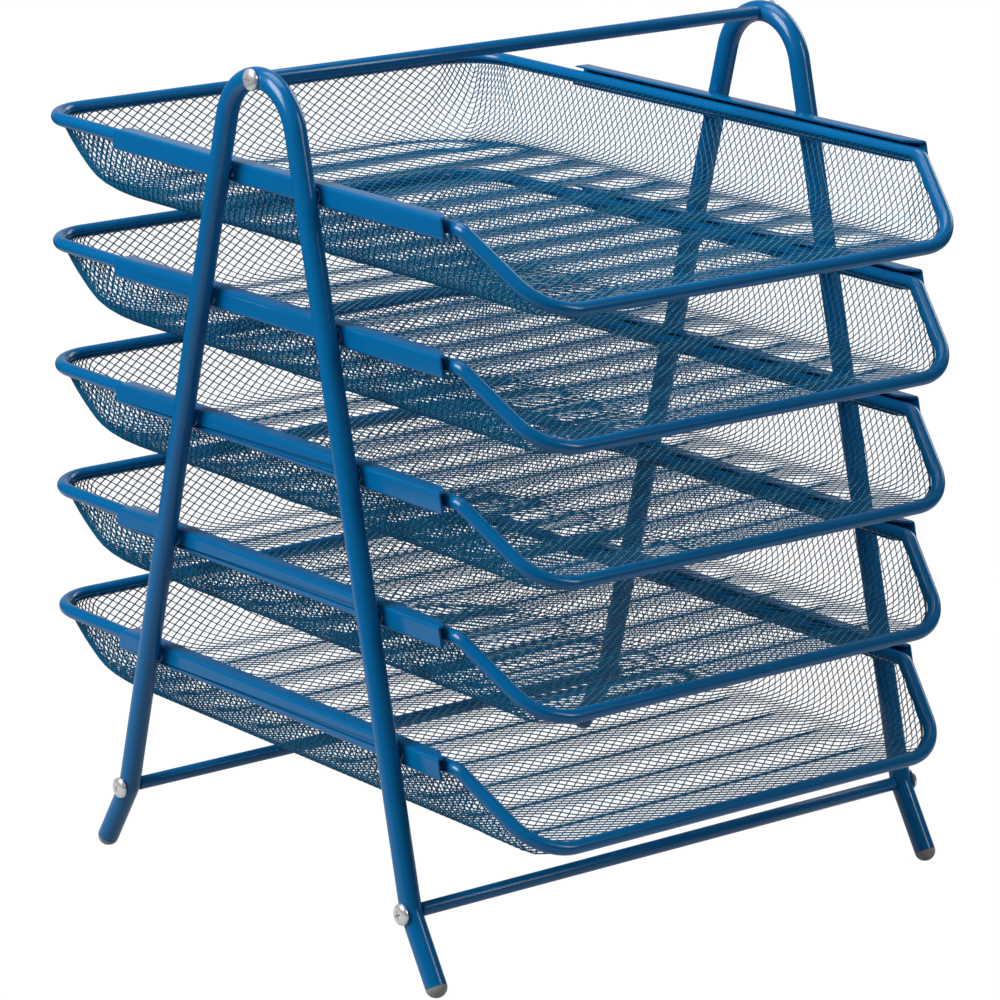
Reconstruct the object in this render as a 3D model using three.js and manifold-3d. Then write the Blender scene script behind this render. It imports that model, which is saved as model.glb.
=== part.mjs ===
// A five-tier letter tray organizer: two splayed tube frames carry ten sheet-metal channels,
// and five mesh trays slide in the channels and pull out to the front.
// Units are millimetres. X runs across the trays, their fronts face -Y and Z is up.
// The origin is on the floor, under the middle of the trays' outline.

import * as THREE from "three";
import { mergeVertices } from "three/addons/utils/BufferGeometryUtils.js";
import Module from "manifold-3d";

const { clamp, lerp } = THREE.MathUtils;
const wasm = await Module();
wasm.setup();

// Clearances
const SEAT_GAP = 0.3; // between pieces that touch
const RUNNING_GAP = 0.75; // between a tray's rim and each flange of its channel
const SIDE_PLAY = 3.5; // between a rim's side and its channel's web
const SCREW_GAP = 0.4; // round a screw's shank

// The stack of trays
const TRAY_COUNT = 5;
const TRAY_PITCH = 57.1;
const BOTTOM_RIM_HEIGHT = 96.1; // centre of the lowest tray's rim above the floor
const TRAY_WIDTH = 253; // centre to centre of a rim's two sides
const TRAY_DEPTH = 346.2; // centre to centre of a rim's rear and its lip

// A tray's rim, one round rod bent to shape
const RIM_D = 6;
const REAR_CORNER_R = 24;
const LIP_CORNER_R = 24;
const SLOPE_BEND_R = 8;
const LIP_DROP = 29.8; // of the lip below the sides
const LIP_INSET = 14.1; // of the lip's ends behind the sides, on each side
const SLOPE_RUN = 38.3; // of the slope from the sides to the lip, along Y
const SLOPE_LEAD = 2.2; // from the channel's front end to the corner where the slope starts

// A tray's pressed mesh basket
const STRAND_THICKNESS = 1.6; // at a strand's ridge, which thins out to its two sides
const STRAND_WIDTH = 3.6;
const WALL_ANGLE = (74 * Math.PI) / 180; // of the walls above the floor
const FLOOR_BEND_R = 13;
const FLOOR_CORNER_R = 52;
const FLOOR_CORNER_REACH = 36; // how far the rounded corners reach into the floor
const RIB_PITCH = 30.3;
const RIB_DEPTH = 2.2;
const DIAMOND_WIDTH = 70; // wanted, and fitted to the floor's width

// The channels
const CHANNEL_LENGTH = 234.6;
const CHANNEL_SHIFT = 1.3; // of the channels' middle behind the frames'
const CHANNEL_SHEET = 1;
const CHANNEL_BEND_R = 1.4;
const FRONT_RAKE = 2.5;
const FLANGE_CUT = 10; // how far a flange's free edge is cut back at the front
const REAR_CORNER_CUT = 4;
const BOSS_HEIGHT = 0.75; // of the pressed bosses on which a channel is welded to the two legs
const BOSS_D = 6;
const BOSS_TOP_D = 5;

// The two tube frames
const LEG_D = 9.5;
const LEG_WALL = 1;
const APEX_BEND_R = 25;
const TOP_HEADROOM = 45.5; // from the top tray's rim to the top bar
const KNEE_HALF_SPREAD = 103.6;
const KNEE_HEIGHT = 32.4;
const FOOT_HALF_SPREAD = 120.8;
const KNEE_BEND_R = 14;

// Bars, screws and foot caps
const BAR_D = 6;
const SHANK_D = 3.4;
const THREAD_LENGTH = 9.9; // of a screw's shank in a bar's end
const BORE_SPARE = 2.1; // of a bar's bore beyond the screw's tip
const HEAD_D = 9.4;
const HEAD_HEIGHT = 2.6;
const CAP_STEM_LENGTH = 9;
const CAP_FLAT_CUT = 0.4; // taken off a foot's dome where it stands on the floor

// Places that follow from the sizes above
const RIM_R = RIM_D / 2;
const LEG_R = LEG_D / 2;
const BAR_R = BAR_D / 2;
const BORE_R = SHANK_D / 2 + SCREW_GAP;
const SIDE_X = TRAY_WIDTH / 2;
const CHANNEL_OUTER_X = SIDE_X + RIM_R + SIDE_PLAY + CHANNEL_SHEET;
const CHANNEL_FLANGE = CHANNEL_OUTER_X - SIDE_X; // with the web, up to the middle of the rim
const LEG_X = CHANNEL_OUTER_X + BOSS_HEIGHT + SEAT_GAP + LEG_R;
const CHANNEL_HALF_HEIGHT = RIM_R + RUNNING_GAP + CHANNEL_SHEET;
const RIM_SAG = RUNNING_GAP - SEAT_GAP; // a rim rests near the lower flange
const SLOPE_Y = CHANNEL_SHIFT - CHANNEL_LENGTH / 2 - SLOPE_LEAD;
const LIP_Y = SLOPE_Y - SLOPE_RUN;
const REAR_Y = LIP_Y + TRAY_DEPTH;
const TOP_BAR_HEIGHT = BOTTOM_RIM_HEIGHT + (TRAY_COUNT - 1) * TRAY_PITCH + TOP_HEADROOM;
const MESH_OFFSET = (RIM_R + SEAT_GAP + STRAND_THICKNESS / 2) * Math.SQRT1_2; // inward, and down
const SHANK_LENGTH = SEAT_GAP + LEG_D + SEAT_GAP + THREAD_LENGTH;
const BORE_DEPTH = THREAD_LENGTH + BORE_SPARE;
const FOOT_CENTRE_HEIGHT = LEG_R - CAP_FLAT_CUT;
const APEX_RISE = TOP_BAR_HEIGHT - APEX_BEND_R - KNEE_HEIGHT;
const LEG_LEAN =
  Math.atan2(KNEE_HALF_SPREAD, APEX_RISE) - Math.asin(APEX_BEND_R / Math.hypot(KNEE_HALF_SPREAD, APEX_RISE));

// How many facets the round shapes get
const ROD_SIDES = 8;
const TUBE_SIDES = 10;
const CORNER_STEPS = 4;
const BEND_STEPS = 2;
const DOME_STEPS = 3;

const paint = new THREE.MeshStandardMaterial({ color: 0x0067a8, roughness: 0.35, metalness: 0.1 });
const zinc = new THREE.MeshStandardMaterial({ color: 0xc9cac6, roughness: 0.25, metalness: 1 });
const plastic = new THREE.MeshStandardMaterial({ color: 0x82827f, roughness: 0.6, metalness: 0 });

// Solids: a closed geometry becomes a solid that can be joined and cut, and a solid becomes a geometry again.
function solid(geometry) {
  const bare = geometry.clone();
  bare.deleteAttribute("normal");
  bare.deleteAttribute("uv");
  const merged = mergeVertices(bare, 1e-4);
  return new wasm.Manifold(
    new wasm.Mesh({
      numProp: 3,
      vertProperties: merged.attributes.position.array,
      triVerts: new Uint32Array(merged.index.array),
    }),
  );
}

function geometryOf(made) {
  const { vertProperties, triVerts } = made.getMesh();
  const geometry = new THREE.BufferGeometry();
  geometry.setAttribute("position", new THREE.BufferAttribute(vertProperties, 3));
  geometry.setIndex(new THREE.BufferAttribute(triVerts, 1));
  geometry.computeVertexNormals();
  return geometry;
}

// A mirror image in X, with its faces turned round again.
function mirrored(geometry) {
  const image = (geometry.index ? geometry.toNonIndexed() : geometry.clone()).scale(-1, 1, 1);
  const { array } = image.attributes.position;
  for (let i = 0; i < array.length; i += 9) {
    for (let k = 0; k < 3; k += 1) {
      [array[i + k], array[i + 3 + k]] = [array[i + 3 + k], array[i + k]];
    }
  }
  return image;
}

function total(numbers) {
  return numbers.reduce((sum, number) => sum + number, 0);
}

function place(name, geometry, material, position = [0, 0, 0], rotation = [0, 0, 0]) {
  const mesh = new THREE.Mesh(geometry, material);
  mesh.name = name;
  mesh.position.set(...position);
  mesh.rotation.set(...rotation);
  return mesh;
}

// The centre line of a bent rod or tube: straight runs joined by arcs.
// It hands out its stations by number, so that straight runs take no facets.
class BentLine extends THREE.Curve {
  constructor(corners, bends) {
    super();
    this.stations = [{ point: corners[0], tangent: corners[1].clone().sub(corners[0]).normalize() }];
    bends.forEach(({ radius, steps }, i) => this.addArc(...corners.slice(i, i + 3), radius, steps));
    const [before, last] = corners.slice(-2);
    this.stations.push({ point: last, tangent: last.clone().sub(before).normalize() });
  }

  addArc(before, corner, after, radius, steps) {
    const inward = corner.clone().sub(before).normalize();
    const outward = after.clone().sub(corner).normalize();
    const turn = inward.angleTo(outward);
    const reach = radius * Math.tan(turn / 2);
    const start = corner.clone().addScaledVector(inward, -reach);
    const normal = outward.clone().addScaledVector(inward, -Math.cos(turn)).normalize();
    for (let k = 0; k <= steps; k += 1) {
      const angle = (turn * k) / steps;
      this.stations.push({
        point: start
          .clone()
          .addScaledVector(inward, radius * Math.sin(angle))
          .addScaledVector(normal, radius * (1 - Math.cos(angle))),
        tangent: inward.clone().multiplyScalar(Math.cos(angle)).addScaledVector(normal, Math.sin(angle)),
      });
    }
  }

  get steps() {
    return this.stations.length - 1;
  }

  getPointAt(t) {
    return this.stations[Math.round(t * this.steps)].point.clone();
  }

  getTangentAt(t) {
    return this.stations[Math.round(t * this.steps)].tangent.clone();
  }
}

// A circle of straight sides, drawn the other way round for a hole.
function circle(radius, sides, isHole = false) {
  const outline = isHole ? new THREE.Path() : new THREE.Shape();
  for (let k = 0; k < sides; k += 1) {
    const angle = ((isHole ? -1 : 1) * 2 * Math.PI * (k + 0.5)) / sides;
    const [x, y] = [radius * Math.cos(angle), radius * Math.sin(angle)];
    if (k === 0) outline.moveTo(x, y);
    else outline.lineTo(x, y);
  }
  outline.closePath();
  return outline;
}

function sweep(section, line) {
  return new THREE.ExtrudeGeometry(section, { steps: line.steps, extrudePath: line });
}

function crossHole(y, z) {
  const drill = new THREE.CylinderGeometry(BORE_R, BORE_R, 2 * LEG_D, TUBE_SIDES);
  return solid(drill.rotateZ(Math.PI / 2).translate(0, y, z));
}

// One A-frame: a tube bent over at the apex, and outward again at the two knees.
function frameTube() {
  const crossing = new THREE.Vector3(0, 0, KNEE_HEIGHT + KNEE_HALF_SPREAD / Math.tan(LEG_LEAN));
  const knee = (side) => new THREE.Vector3(0, side * KNEE_HALF_SPREAD, KNEE_HEIGHT);
  const foot = (side) => new THREE.Vector3(0, side * FOOT_HALF_SPREAD, FOOT_CENTRE_HEIGHT);
  const line = new BentLine(
    [foot(-1), knee(-1), crossing, knee(1), foot(1)],
    [
      { radius: KNEE_BEND_R, steps: BEND_STEPS },
      { radius: APEX_BEND_R, steps: 2 * CORNER_STEPS },
      { radius: KNEE_BEND_R, steps: BEND_STEPS },
    ],
  );
  const section = circle(LEG_R, TUBE_SIDES);
  section.holes.push(circle(LEG_R - LEG_WALL, TUBE_SIDES, true));
  return geometryOf(
    solid(sweep(section, line))
      .subtract(crossHole(0, TOP_BAR_HEIGHT))
      .subtract(crossHole(-KNEE_HALF_SPREAD, KNEE_HEIGHT))
      .subtract(crossHole(KNEE_HALF_SPREAD, KNEE_HEIGHT)),
  );
}

function lathe(points, sides = TUBE_SIDES) {
  return new THREE.LatheGeometry(
    points.map(([x, y]) => new THREE.Vector2(x, y)),
    sides,
  );
}

// A cross bar lies along X and is bored at both ends for its screws.
function crossBar() {
  const half = LEG_X - LEG_R - SEAT_GAP;
  const points = [
    [0, BORE_DEPTH - half],
    [BORE_R, BORE_DEPTH - half],
    [BORE_R, -half],
    [BAR_R, -half],
    [BAR_R, half],
    [BORE_R, half],
    [BORE_R, half - BORE_DEPTH],
    [0, half - BORE_DEPTH],
  ];
  return lathe(points).rotateZ(-Math.PI / 2);
}

// Points of a dome that starts at the given radius and ends on the axis.
function dome(radius, height, base) {
  return Array.from({ length: DOME_STEPS }, (_, k) => {
    const angle = (Math.PI / 2) * ((k + 1) / DOME_STEPS);
    return [k + 1 === DOME_STEPS ? 0 : radius * Math.cos(angle), base + height * Math.sin(angle)];
  });
}

// A low-domed screw whose head points along +X.
function screw() {
  const edge = HEAD_HEIGHT / 4;
  const points = [
    [0, -SHANK_LENGTH],
    [SHANK_D / 2, -SHANK_LENGTH],
    [SHANK_D / 2, 0],
    [HEAD_D / 2, 0],
    [HEAD_D / 2, edge],
    ...dome(HEAD_D / 2, HEAD_HEIGHT - edge, edge),
  ];
  return lathe(points).rotateZ(-Math.PI / 2);
}

// The angle of the lower leg from upright.
const FOOT_LEAN = Math.atan2(FOOT_HALF_SPREAD - KNEE_HALF_SPREAD, KNEE_HEIGHT - FOOT_CENTRE_HEIGHT);

// A foot cap points down along -Z, with its stem in the tube and a small flat cut where it stands.
function footCap() {
  const stem = LEG_R - LEG_WALL - SEAT_GAP;
  const points = [
    [0, -CAP_STEM_LENGTH],
    [stem, -CAP_STEM_LENGTH],
    [stem, SEAT_GAP],
    [LEG_R, SEAT_GAP],
    ...dome(LEG_R, LEG_R - SEAT_GAP, SEAT_GAP),
  ];
  const floor = new THREE.BoxGeometry(4 * LEG_D, 4 * LEG_D, LEG_D);
  floor.translate(0, 0, -LEG_D / 2 - FOOT_CENTRE_HEIGHT).rotateX(-FOOT_LEAN);
  return geometryOf(solid(lathe(points).rotateX(-Math.PI / 2)).subtract(solid(floor)));
}

// A channel along Y, open towards -X, with its web's outer face at X = 0 and its middle at Z = 0.
// Behind each leg, at the given height above the floor, its web has a boss.
function channel(height) {
  const half = CHANNEL_HALF_HEIGHT;
  const inner = half - CHANNEL_SHEET;
  const section = new THREE.Shape();
  section.moveTo(-CHANNEL_FLANGE, -half);
  section.lineTo(-CHANNEL_BEND_R, -half);
  section.lineTo(0, -half + CHANNEL_BEND_R);
  section.lineTo(0, half - CHANNEL_BEND_R);
  section.lineTo(-CHANNEL_BEND_R, half);
  section.lineTo(-CHANNEL_FLANGE, half);
  section.lineTo(-CHANNEL_FLANGE, inner);
  section.lineTo(-CHANNEL_SHEET, inner);
  section.lineTo(-CHANNEL_SHEET, -inner);
  section.lineTo(-CHANNEL_FLANGE, -inner);
  section.closePath();
  const strip = new THREE.ExtrudeGeometry(section, { depth: CHANNEL_LENGTH, bevelEnabled: false, steps: 1 });
  strip.rotateX(Math.PI / 2).translate(0, CHANNEL_LENGTH / 2, 0);

  // The side outline: a raked front end, and a rear end with its upper corner rounded off.
  const side = new THREE.Shape();
  const [front, rear] = [-CHANNEL_LENGTH / 2, CHANNEL_LENGTH / 2];
  side.moveTo(front, -half);
  side.lineTo(rear, -half);
  side.lineTo(rear, half - REAR_CORNER_CUT);
  side.absarc(rear - REAR_CORNER_CUT, half - REAR_CORNER_CUT, REAR_CORNER_CUT, 0, Math.PI / 2);
  side.lineTo(front + FRONT_RAKE, half);
  side.closePath();
  const cutter = new THREE.ExtrudeGeometry(side, {
    depth: 2 * CHANNEL_FLANGE,
    bevelEnabled: false,
    steps: 1,
    curveSegments: BEND_STEPS,
  });
  cutter.rotateY(Math.PI / 2).rotateX(Math.PI / 2).translate(-1.5 * CHANNEL_FLANGE, 0, 0);

  // The flanges' front ends are cut off slantwise, from the bend to the free edge.
  const slant = new THREE.Shape();
  slant.moveTo(-CHANNEL_BEND_R, front - 1);
  slant.lineTo(-CHANNEL_BEND_R, front);
  slant.lineTo(-CHANNEL_FLANGE, front + FLANGE_CUT);
  slant.lineTo(-2 * CHANNEL_FLANGE, front + FLANGE_CUT);
  slant.lineTo(-2 * CHANNEL_FLANGE, front - 1);
  slant.closePath();
  const slantCutter = new THREE.ExtrudeGeometry(slant, { depth: 4 * half, bevelEnabled: false, steps: 1 });
  slantCutter.translate(0, 0, -2 * half);

  const legY = KNEE_HALF_SPREAD - (height - KNEE_HEIGHT) * Math.tan(LEG_LEAN);
  const root = CHANNEL_SHEET / 2; // how far a boss is sunk in the web, to be joined with it
  const boss = new THREE.CylinderGeometry(BOSS_TOP_D / 2, BOSS_D / 2, BOSS_HEIGHT + root, TUBE_SIDES);
  boss.rotateZ(-Math.PI / 2).translate((BOSS_HEIGHT - root) / 2, legY - CHANNEL_SHIFT, 0);
  const otherBoss = boss.clone().translate(0, -2 * legY, 0);
  const trimmed = solid(strip).intersect(solid(cutter)).subtract(solid(slantCutter));
  return geometryOf(trimmed.add(solid(boss)).add(solid(otherBoss)));
}

// The left half of a rim's centre line, from the middle of the rear to the middle of the lip.
const OVERRUN = 1; // the two halves of a rim run into each other before they are joined
const RIM_LINE = new BentLine(
  [
    new THREE.Vector3(OVERRUN, REAR_Y, 0),
    new THREE.Vector3(-SIDE_X, REAR_Y, 0),
    new THREE.Vector3(-SIDE_X, SLOPE_Y, 0),
    new THREE.Vector3(LIP_INSET - SIDE_X, LIP_Y, -LIP_DROP),
    new THREE.Vector3(OVERRUN, LIP_Y, -LIP_DROP),
  ],
  [
    { radius: REAR_CORNER_R, steps: CORNER_STEPS },
    { radius: SLOPE_BEND_R, steps: BEND_STEPS },
    { radius: LIP_CORNER_R, steps: CORNER_STEPS },
  ],
);

function trayRim() {
  const half = sweep(circle(RIM_R, ROD_SIDES), RIM_LINE);
  return geometryOf(solid(half).add(solid(mirrored(half))));
}

// The basket's wall, from the floor's edge: where the sheet has climbed to after a length of it.
const WALL_HEIGHT = LIP_DROP;
const BEND_LENGTH = FLOOR_BEND_R * WALL_ANGLE;
const STRAIGHT_LENGTH = (WALL_HEIGHT - FLOOR_BEND_R * (1 - Math.cos(WALL_ANGLE))) / Math.sin(WALL_ANGLE);
const WALL_LENGTH = BEND_LENGTH + STRAIGHT_LENGTH;

function climb(length) {
  const angle = Math.min(length / FLOOR_BEND_R, WALL_ANGLE);
  const straight = Math.max(length - BEND_LENGTH, 0);
  return {
    out: FLOOR_BEND_R * Math.sin(angle) + straight * Math.cos(angle),
    up: FLOOR_BEND_R * (1 - Math.cos(angle)) + straight * Math.sin(angle),
  };
}

const FLOOR_LEVEL = -MESH_OFFSET - LIP_DROP;
const EDGE_X = SIDE_X - MESH_OFFSET;
const FLOOR_HALF_WIDTH = EDGE_X - climb(WALL_LENGTH).out;
const FLOOR_REAR_Y = REAR_Y - MESH_OFFSET - climb(WALL_LENGTH).out;
const EDGE_CORNER_R = REAR_CORNER_R - MESH_OFFSET;

// The basket's middle surface away from the lip. x and y count along the sheet, as if it lay flat.
// Each ring round the floor is a rounded rectangle in plan, and its rear corners are mapped to arcs.
function basketPoint(x, y) {
  const side = Math.sign(x);
  const reachX = Math.abs(x) - (FLOOR_HALF_WIDTH - FLOOR_CORNER_REACH);
  const reachY = y - (FLOOR_REAR_Y - FLOOR_CORNER_REACH);
  const ring = Math.max(reachX, reachY);
  if (ring <= 0) return new THREE.Vector3(x, y, FLOOR_LEVEL);
  const { out, up } = climb(Math.max(ring - FLOOR_CORNER_REACH, 0));
  const grown = Math.min(ring, FLOOR_CORNER_REACH) + out - FLOOR_CORNER_REACH;
  const [halfWidth, rear] = [FLOOR_HALF_WIDTH + grown, FLOOR_REAR_Y + grown];
  const radius =
    ring < FLOOR_CORNER_REACH
      ? (FLOOR_CORNER_R * ring) / FLOOR_CORNER_REACH
      : lerp(FLOOR_CORNER_R, EDGE_CORNER_R, (ring - FLOOR_CORNER_REACH) / WALL_LENGTH);
  const cornerLength = radius + ring - FLOOR_CORNER_REACH - grown;
  const before = ring - Math.min(reachX, reachY);
  const z = FLOOR_LEVEL + up;
  if (before >= cornerLength) {
    return reachX >= reachY ? new THREE.Vector3(side * halfWidth, y, z) : new THREE.Vector3(x, rear, z);
  }
  const fromMiddle = (before / cornerLength) * (Math.PI / 4);
  const angle = Math.PI / 4 + (reachX >= reachY ? -fromMiddle : fromMiddle);
  return new THREE.Vector3(
    side * (halfWidth - radius + radius * Math.cos(angle)),
    rear - radius + radius * Math.sin(angle),
    z,
  );
}

// The sheet's edge beside the rim, inward of it and below it, on the right-hand side.
function besideRim(station) {
  const { point, tangent } = RIM_LINE.stations[station];
  const inward = new THREE.Vector3(-tangent.y, tangent.x, 0).normalize();
  const below = tangent.clone().cross(inward).negate();
  const edge = point.clone().addScaledVector(inward, MESH_OFFSET).addScaledVector(below, MESH_OFFSET);
  return edge.multiply(new THREE.Vector3(-1, 1, 1));
}

// The edge from the slope's start to the middle of the front corner.
const LIP_CORNER_STATION = RIM_LINE.steps - 1 - CORNER_STEPS;
const SLOPE_EDGE = [
  besideRim(LIP_CORNER_STATION - 1 - BEND_STEPS / 2),
  besideRim(LIP_CORNER_STATION - 1).lerp(besideRim(LIP_CORNER_STATION), 0.5),
  besideRim(LIP_CORNER_STATION + CORNER_STEPS / 2),
];

// The sheet's front edge, from the middle of a front corner (share 1) to the middle of the lip (0).
function lipPoint(share) {
  const [end] = SLOPE_EDGE.slice(-1);
  const straightEnd = SIDE_X - LIP_INSET - LIP_CORNER_R;
  const x = Math.abs(share) * end.x;
  const bent = clamp((x - straightEnd) / (end.x - straightEnd), 0, 1);
  return new THREE.Vector3(
    share * end.x,
    LIP_Y + MESH_OFFSET + bent * bent * (end.y - LIP_Y - MESH_OFFSET),
    FLOOR_LEVEL + bent * bent * (end.z - FLOOR_LEVEL),
  );
}

// The stations of the diamond lattice: columns across the sheet, and rows from the rear rim to the lip.
const SHEET_HALF_WIDTH = FLOOR_HALF_WIDTH + WALL_LENGTH;
const BEND_COLUMN = FLOOR_HALF_WIDTH + BEND_LENGTH / 2;
const FLOOR_DIAMONDS = Math.round((2 * BEND_COLUMN) / DIAMOND_WIDTH);
const RIB_COUNT = 1 + Math.floor((FLOOR_REAR_Y - SLOPE_Y) / RIB_PITCH);
const columns = [-SHEET_HALF_WIDTH];
for (let i = 0; i <= 2 * FLOOR_DIAMONDS; i += 1) columns.push(BEND_COLUMN * (i / FLOOR_DIAMONDS - 1));
columns.push(SHEET_HALF_WIDTH);
const rows = [FLOOR_REAR_Y + WALL_LENGTH, FLOOR_REAR_Y + BEND_LENGTH / 2];
for (let j = 2 * (RIB_COUNT - 1); j >= 0; j -= 1) rows.push(SLOPE_Y + (j * RIB_PITCH) / 2);

// A node of the lattice. The last two rows lie between the last rib and the lip.
function latticeNode(i, j) {
  const share = columns[i] / SHEET_HALF_WIDTH;
  const pastRib = j - rows.length + 1;
  if (Math.abs(share) === 1 && pastRib >= 0) {
    return SLOPE_EDGE[pastRib].clone().multiply(new THREE.Vector3(share, 1, 1));
  }
  const point = basketPoint(columns[i], pastRib > 0 ? SLOPE_Y : rows[j]);
  if (pastRib > 0) return point.lerp(lipPoint(share), pastRib / 2);
  const isRib = j >= 2 && j % 2 === 0;
  if (isRib && Math.abs(columns[i]) < FLOOR_HALF_WIDTH - FLOOR_CORNER_REACH / 2) point.z -= RIB_DEPTH;
  return point;
}

// The basket: a sheet of diamonds, each a ring of strands round its hole. Half diamonds close the edges.
// A strand is thickest along the line between its two nodes, and its faces slope from there to the holes.
function trayMesh() {
  const [lastColumn, lastRow] = [columns.length - 1, rows.length + 1];
  const positions = [];
  const face = (...corners) => {
    for (let k = 2; k < corners.length; k += 1) {
      for (const { x, y, z } of [corners[0], corners[k - 1], corners[k]]) positions.push(x, y, z);
    }
  };
  const nodes = columns.map((_, i) =>
    Array.from({ length: lastRow + 1 }, (__, j) => {
      const at = (a, b) => latticeNode(clamp(a, 0, lastColumn), clamp(b, 0, lastRow));
      const across = at(i + 1, j).sub(at(i - 1, j));
      const along = at(i, j - 1).sub(at(i, j + 1));
      const rise = across.cross(along).setLength(STRAND_THICKNESS / 2);
      const middle = at(i, j);
      return { middle, upper: middle.clone().add(rise), lower: middle.clone().sub(rise) };
    }),
  );
  const isInside = ([i, j]) => i >= 0 && i <= lastColumn && j >= 0 && j <= lastRow;
  const cell = (i, j) => {
    const places = [[i + 1, j], [i, j - 1], [i - 1, j], [i, j + 1]].filter(isInside);
    const corners = places.map(([a, b]) => nodes[a][b]);
    const centre = corners.reduce((sum, { middle }) => sum.add(middle), new THREE.Vector3());
    centre.divideScalar(corners.length);
    const sides = corners.map(({ middle }, k) => [middle, corners[(k + 1) % corners.length].middle]);
    const doubleAreas = sides.map(([a, b]) => a.clone().sub(centre).cross(b.clone().sub(centre)).length());
    const meanInset = total(doubleAreas) / total(sides.map(([a, b]) => a.distanceTo(b)));
    const inset = STRAND_WIDTH / 2 / meanInset;
    const hole = corners.map(({ middle }) => middle.clone().lerp(centre, inset));
    corners.forEach((corner, k) => {
      const next = (k + 1) % corners.length;
      face(corner.upper, corners[next].upper, hole[next], hole[k]);
      face(corners[next].lower, corner.lower, hole[k], hole[next]);
      const isOuterSide = places[k][0] === places[next][0] || places[k][1] === places[next][1];
      if (isOuterSide) face(corners[next].upper, corner.upper, corner.lower, corners[next].lower);
    });
  };
  for (let i = 0; i <= lastColumn; i += 1) {
    for (let j = 0; j <= lastRow; j += 1) {
      if ((i + j) % 2 === 1) cell(i, j);
    }
  }
  const geometry = new THREE.BufferGeometry();
  geometry.setAttribute("position", new THREE.Float32BufferAttribute(positions, 3));
  geometry.computeVertexNormals();
  return geometry;
}

// The assembly
const organizer = new THREE.Group();
organizer.position.y = -(REAR_Y + LIP_Y) / 2;

const [tubeShape, barShape, screwShape, capShape] = [frameTube(), crossBar(), screw(), footCap()];
const joints = [
  ["top", 0, TOP_BAR_HEIGHT],
  ["front", -KNEE_HALF_SPREAD, KNEE_HEIGHT],
  ["rear", KNEE_HALF_SPREAD, KNEE_HEIGHT],
];
joints.forEach(([end, y, z]) => organizer.add(place(`${end}_bar`, barShape, paint, [0, y, z])));

const [rimShape, meshShape] = [trayRim(), trayMesh()];
for (const [hand, side] of [["left", -1], ["right", 1]]) {
  const frame = new THREE.Group();
  frame.position.x = side * LEG_X;
  frame.add(place(`${hand}_frame_tube`, tubeShape, paint));
  for (const [end, y, z] of joints) {
    const turn = side > 0 ? 0 : Math.PI;
    const position = [side * (LEG_R + SEAT_GAP), y, z];
    frame.add(place(`${hand}_${end}_screw`, screwShape, zinc, position, [0, 0, turn]));
  }
  for (const [end, way] of [["front", -1], ["rear", 1]]) {
    const position = [0, way * FOOT_HALF_SPREAD, FOOT_CENTRE_HEIGHT];
    const rotation = [way * FOOT_LEAN, 0, way > 0 ? 0 : Math.PI];
    frame.add(place(`${hand}_${end}_foot_cap`, capShape, plastic, position, rotation));
  }
  organizer.add(frame);
}

for (let level = 1; level <= TRAY_COUNT; level += 1) {
  const height = BOTTOM_RIM_HEIGHT + (TRAY_COUNT - level) * TRAY_PITCH;
  const channelHeight = height + RIM_SAG;
  const right = channel(channelHeight);
  for (const [hand, side, shape] of [["left", -1, mirrored(right)], ["right", 1, right]]) {
    const position = [side * CHANNEL_OUTER_X, CHANNEL_SHIFT, channelHeight];
    organizer.add(place(`${hand}_channel_${level}`, shape, paint, position));
  }
  const tray = new THREE.Group();
  tray.position.z = height;
  tray.add(place(`tray_${level}_rim`, rimShape, paint));
  tray.add(place(`tray_${level}_mesh`, meshShape, paint));
  organizer.add(tray);
}

export default organizer;
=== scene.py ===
# The finished look of a five-tier letter tray organizer.
# Lengths are millimetres until an object is made.
# X runs across the trays, their fronts face -Y and Z is up.
import math

import bpy
import numpy as np
from mathutils import Matrix, Vector


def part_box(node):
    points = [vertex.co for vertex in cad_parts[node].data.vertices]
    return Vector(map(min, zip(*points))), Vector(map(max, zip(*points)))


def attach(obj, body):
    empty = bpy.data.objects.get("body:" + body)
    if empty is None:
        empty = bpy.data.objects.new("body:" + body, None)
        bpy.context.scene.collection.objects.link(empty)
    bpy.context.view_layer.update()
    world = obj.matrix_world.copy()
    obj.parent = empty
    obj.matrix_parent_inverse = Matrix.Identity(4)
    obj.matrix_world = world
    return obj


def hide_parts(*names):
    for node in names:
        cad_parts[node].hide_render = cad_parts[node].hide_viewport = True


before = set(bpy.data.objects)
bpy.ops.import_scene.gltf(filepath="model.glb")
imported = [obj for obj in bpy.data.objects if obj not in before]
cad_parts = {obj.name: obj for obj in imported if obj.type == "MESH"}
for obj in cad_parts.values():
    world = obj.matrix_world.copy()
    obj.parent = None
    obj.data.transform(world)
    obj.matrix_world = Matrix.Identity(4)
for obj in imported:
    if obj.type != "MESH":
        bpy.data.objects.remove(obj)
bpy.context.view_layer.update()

METRES = 0.001
TINY = 1e-6  # millimetres
TRAYS = range(1, 6)
HANDS = {"left": -1, "right": 1}
ENDS = {"front": -1, "rear": 1}


def middle(node):
    """The middle of a node of the frame, in millimetres."""
    low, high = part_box(node)
    return np.array((low + high) / 2) / METRES


def extent(node):
    """The width, depth and height of a node of the frame, in millimetres."""
    low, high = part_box(node)
    return np.array(high - low) / METRES


# Where the stand's pieces are
BARS = {"top": middle("top_bar"), "front": middle("front_bar"), "rear": middle("rear_bar")}
LEG_X = middle("right_frame_tube")[0]
FRAME_Y = BARS["top"][1]
KNEE_HALF_SPREAD = BARS["rear"][1] - FRAME_Y
KNEE_HEIGHT = BARS["rear"][2]
FOOT_HALF_SPREAD = 120.8
FOOT_CENTRE_HEIGHT = 4.35

# Tubes and bars
LEG_R = 4.75
LEG_WALL = 1.0
APEX_BEND_R = 25.0
KNEE_BEND_R = 14.0
BAR_R = 3.0
BAR_END_R = 0.5

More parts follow.
